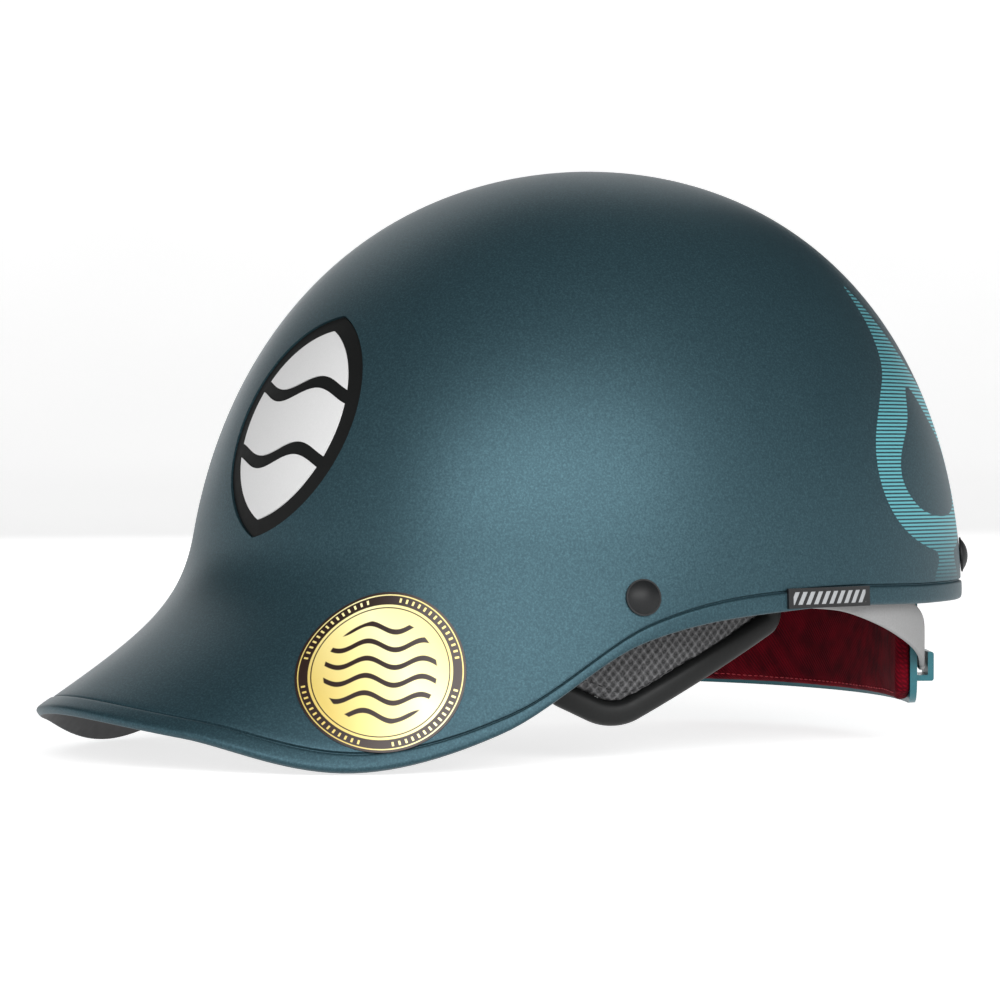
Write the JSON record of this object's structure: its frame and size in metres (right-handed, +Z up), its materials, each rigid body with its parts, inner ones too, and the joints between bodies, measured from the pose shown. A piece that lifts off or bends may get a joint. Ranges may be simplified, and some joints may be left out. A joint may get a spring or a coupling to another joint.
{
  "type": "water helmet",
  "caption": "Water sports half-shell helmet with an integral cap peak, foam liner and pads, ear pads, hinged neck cradle on rubber straps and a stowed chin strap.",
  "frame": {"origin": "on the plane of symmetry and the upright axis of the dome, at the height of the rear rim, inside the head cavity", "axes": "+X to the wearer's left, +Y to the back, +Z up; the peak points to -Y"},
  "size_m": [0.23, 0.334, 0.1962],
  "materials": {
    "shell_teal": "matte satin teal over moulded composite, fine speckle",
    "badge_black": "gloss black",
    "badge_white": "gloss white",
    "label_gold": "printed gold film",
    "plate_black": "gloss black",
    "rivet_black": "satin black",
    "washer_steel": "plain steel",
    "liner_foam": "moulded bead foam",
    "pad_fabric": "soft brushed fabric over foam",
    "ear_mesh": "grey spacer mesh",
    "ear_piping": "soft black rubber",
    "patch_loop": "hook-and-loop tape",
    "cradle_teal": "semi-matte teal nylon",
    "neck_red": "perforated red lining",
    "bracket_black": "moulded nylon",
    "pin_steel": "plain steel",
    "strap_grey": "light grey rubber",
    "webbing_black": "woven polyester webbing",
    "buckle_black": "moulded acetal"
  },
  "bodies": {
    "helmet": {"buckle_socket": "buckle_black", "chin_webbing_left": "webbing_black", "chin_webbing_right": "webbing_black", "cradle_bracket_left": "bracket_black", "cradle_bracket_right": "bracket_black", "cradle_pin_left": "pin_steel", "cradle_pin_right": "pin_steel", "crown_pad": "pad_fabric", "front_badge_base": "badge_black", "front_badge_waves": "badge_white", "front_leg_left": "webbing_black", "front_leg_right": "webbing_black", "front_pad": "pad_fabric", "impact_liner": "liner_foam", "loop_patch_left": "patch_loop", "loop_patch_right": "patch_loop", "neck_strap_left": "strap_grey", "neck_strap_right": "strap_grey", "outer_shell": "shell_teal", "rear_leg_left": "webbing_black", "rear_leg_right": "webbing_black", "rear_pad": "pad_fabric", "rear_rivet_left": "rivet_black", "rear_rivet_right": "rivet_black", "rim_plate_left": "plate_black", "rim_plate_right": "plate_black", "rivet_washers": "washer_steel", "round_label": "label_gold", "side_pad_left": "pad_fabric", "side_pad_right": "pad_fabric", "side_rivet_left": "rivet_black", "side_rivet_right": "rivet_black", "strap_anchor_left": "bracket_black", "strap_anchor_right": "bracket_black", "strap_divider_left": "buckle_black", "strap_divider_right": "buckle_black", "strap_keeper": "buckle_black"},
    "cradle": {"neck_cradle": "cradle_teal", "neck_pad": "neck_red"},
    "ear_left": {"ear_pad_left": "ear_mesh", "ear_pad_piping_left": "ear_piping", "hook_patch_left": "patch_loop"},
    "ear_right": {"ear_pad_right": "ear_mesh", "ear_pad_piping_right": "ear_piping", "hook_patch_right": "patch_loop"},
    "plug": {"buckle_plug": "buckle_black"}
  },
  "joints": [
    {"name": "neck_cradle_swing", "type": "hinge", "parent": "helmet", "child": "cradle", "pos_m": [0, 0.10133, 0.014], "axis": [1, 0, 0], "range_deg": [-14, 5], "deforming": ["neck_strap_left", "neck_strap_right"]},
    {"name": "ear_pad_left_height", "type": "slide", "parent": "helmet", "child": "ear_left", "axis": [0, 0, 1], "range_m": [-0.004, 0.006]},
    {"name": "ear_pad_right_height", "type": "slide", "parent": "helmet", "child": "ear_right", "axis": [0, 0, 1], "range_m": [-0.004, 0.006]},
    {"name": "buckle_release", "type": "slide", "parent": "helmet", "child": "plug", "axis": [-1, 0, 0], "range_m": [0, 0.02], "deforming": ["chin_webbing_right"]}
  ]
}
